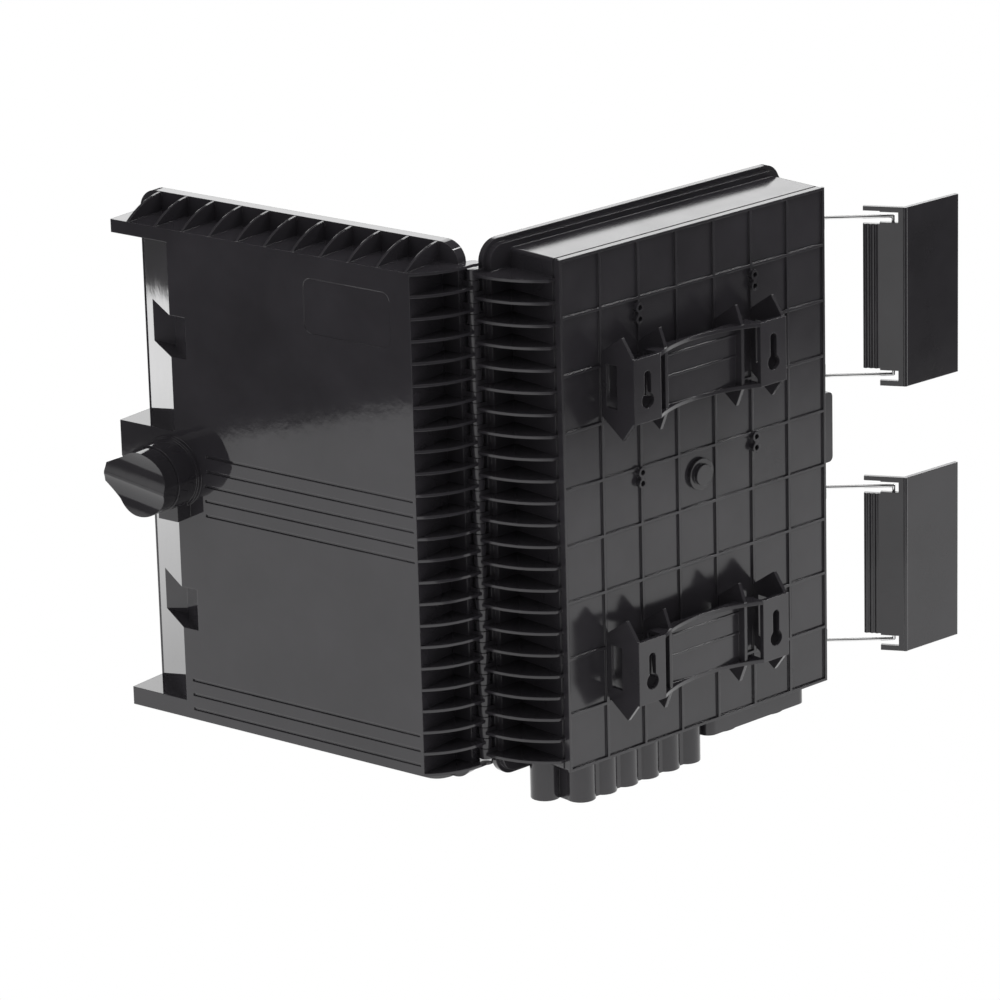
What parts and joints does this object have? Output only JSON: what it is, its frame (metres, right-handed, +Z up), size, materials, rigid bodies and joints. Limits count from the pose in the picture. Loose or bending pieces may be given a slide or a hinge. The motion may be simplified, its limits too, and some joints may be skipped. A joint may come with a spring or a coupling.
{
  "type": "fiber splice closure",
  "caption": "Black wall or pole mounted fibre splice closure, cover open, with wire-bail latches, a turn lock, cable ports and swing-out leaves.",
  "frame": {"origin": "middle of the four keyholes' round ends, in the plane of the wall pads", "axes": "+Z up, +X towards the hinge side, +Y into the wall, so the closed cover faces -Y"},
  "size_m": [0.4086, 0.2935, 0.3175],
  "materials": {
    "shell_plastic": "gloss black moulded plastic",
    "latch_plastic": "gloss black moulded plastic",
    "seal_rubber": "matt black rubber",
    "steel": "plain steel",
    "spring_wire": "bright wire",
    "cassette_plastic": "matt off-white",
    "clear_lid": "clear",
    "blue_plastic": "matt blue",
    "sleeve_plastic": "translucent white",
    "green_plastic": "gloss green",
    "cap_plastic": "matt white",
    "splitter_case": "satin"
  },
  "bodies": {
    "base": {"base_shell": "shell_plastic", "gasket": "seal_rubber", "hinge_pin_upper": "steel", "hinge_pin_lower": "steel", "bracket_upper": "shell_plastic", "bracket_lower": "shell_plastic", "vent_plug": "latch_plastic", "main_seals": "seal_rubber", "drop_seals": "seal_rubber", "cable_clamps": "steel", "clamp_screws": "steel", "storage_plate": "cassette_plastic", "storage_screws": "steel", "leaf_pin": "steel"},
    "splice": {"splice_leaf": "cassette_plastic", "sleeve_holders": "blue_plastic", "splice_sleeves": "sleeve_plastic", "splice_lid": "clear_lid", "splitter_module": "splitter_case"},
    "panel": {"adapter_leaf": "cassette_plastic", "sc_adapters": "green_plastic", "dust_caps": "cap_plastic"},
    "cover": {"cover_shell": "shell_plastic", "lock_bush": "steel", "lock_nut": "steel"},
    "lock": {"lock_knob": "latch_plastic", "lock_cam": "steel", "cam_screw": "steel"},
    "bail_upper": {"upper_bail": "spring_wire"},
    "clip_upper": {"upper_clip": "latch_plastic"},
    "bail_lower": {"lower_bail": "spring_wire"},
    "clip_lower": {"lower_clip": "latch_plastic"}
  },
  "joints": [
    {"name": "cover_hinge", "type": "hinge", "parent": "base", "child": "cover", "pos_m": [0.1085, -0.07, 0.016], "axis": [0, 0, 1], "range_deg": [-100, 65]},
    {"name": "lock_turn", "type": "hinge", "parent": "cover", "child": "lock", "pos_m": [0.17642, -0.24791, 0.016], "axis": [-0.9848, -0.1736, 0], "range_deg": [-90, 0]},
    {"name": "upper_bail_pivot", "type": "hinge", "parent": "base", "child": "bail_upper", "pos_m": [-0.1255, -0.04, 0.0925], "axis": [0, 0, -1], "range_deg": [-132.5, 30]},
    {"name": "upper_clip_pivot", "type": "hinge", "parent": "bail_upper", "child": "clip_upper", "pos_m": [-0.1561, -0.01196, 0.0925], "axis": [0, 0, -1], "range_deg": [-20.5, 75]},
    {"name": "lower_bail_pivot", "type": "hinge", "parent": "base", "child": "bail_lower", "pos_m": [-0.1255, -0.04, -0.0655], "axis": [0, 0, -1], "range_deg": [-132.5, 30]},
    {"name": "lower_clip_pivot", "type": "hinge", "parent": "bail_lower", "child": "clip_lower", "pos_m": [-0.1561, -0.01196, -0.0655], "axis": [0, 0, -1], "range_deg": [-20.5, 75]},
    {"name": "splice_leaf_swing", "type": "hinge", "parent": "base", "child": "splice", "pos_m": [0.0745, -0.072, 0.096], "axis": [0, 0, 1], "range_deg": [0, 95]},
    {"name": "adapter_leaf_swing", "type": "hinge", "parent": "base", "child": "panel", "pos_m": [0.0745, -0.072, -0.021], "axis": [0, 0, 1], "range_deg": [0, 95]}
  ]
}
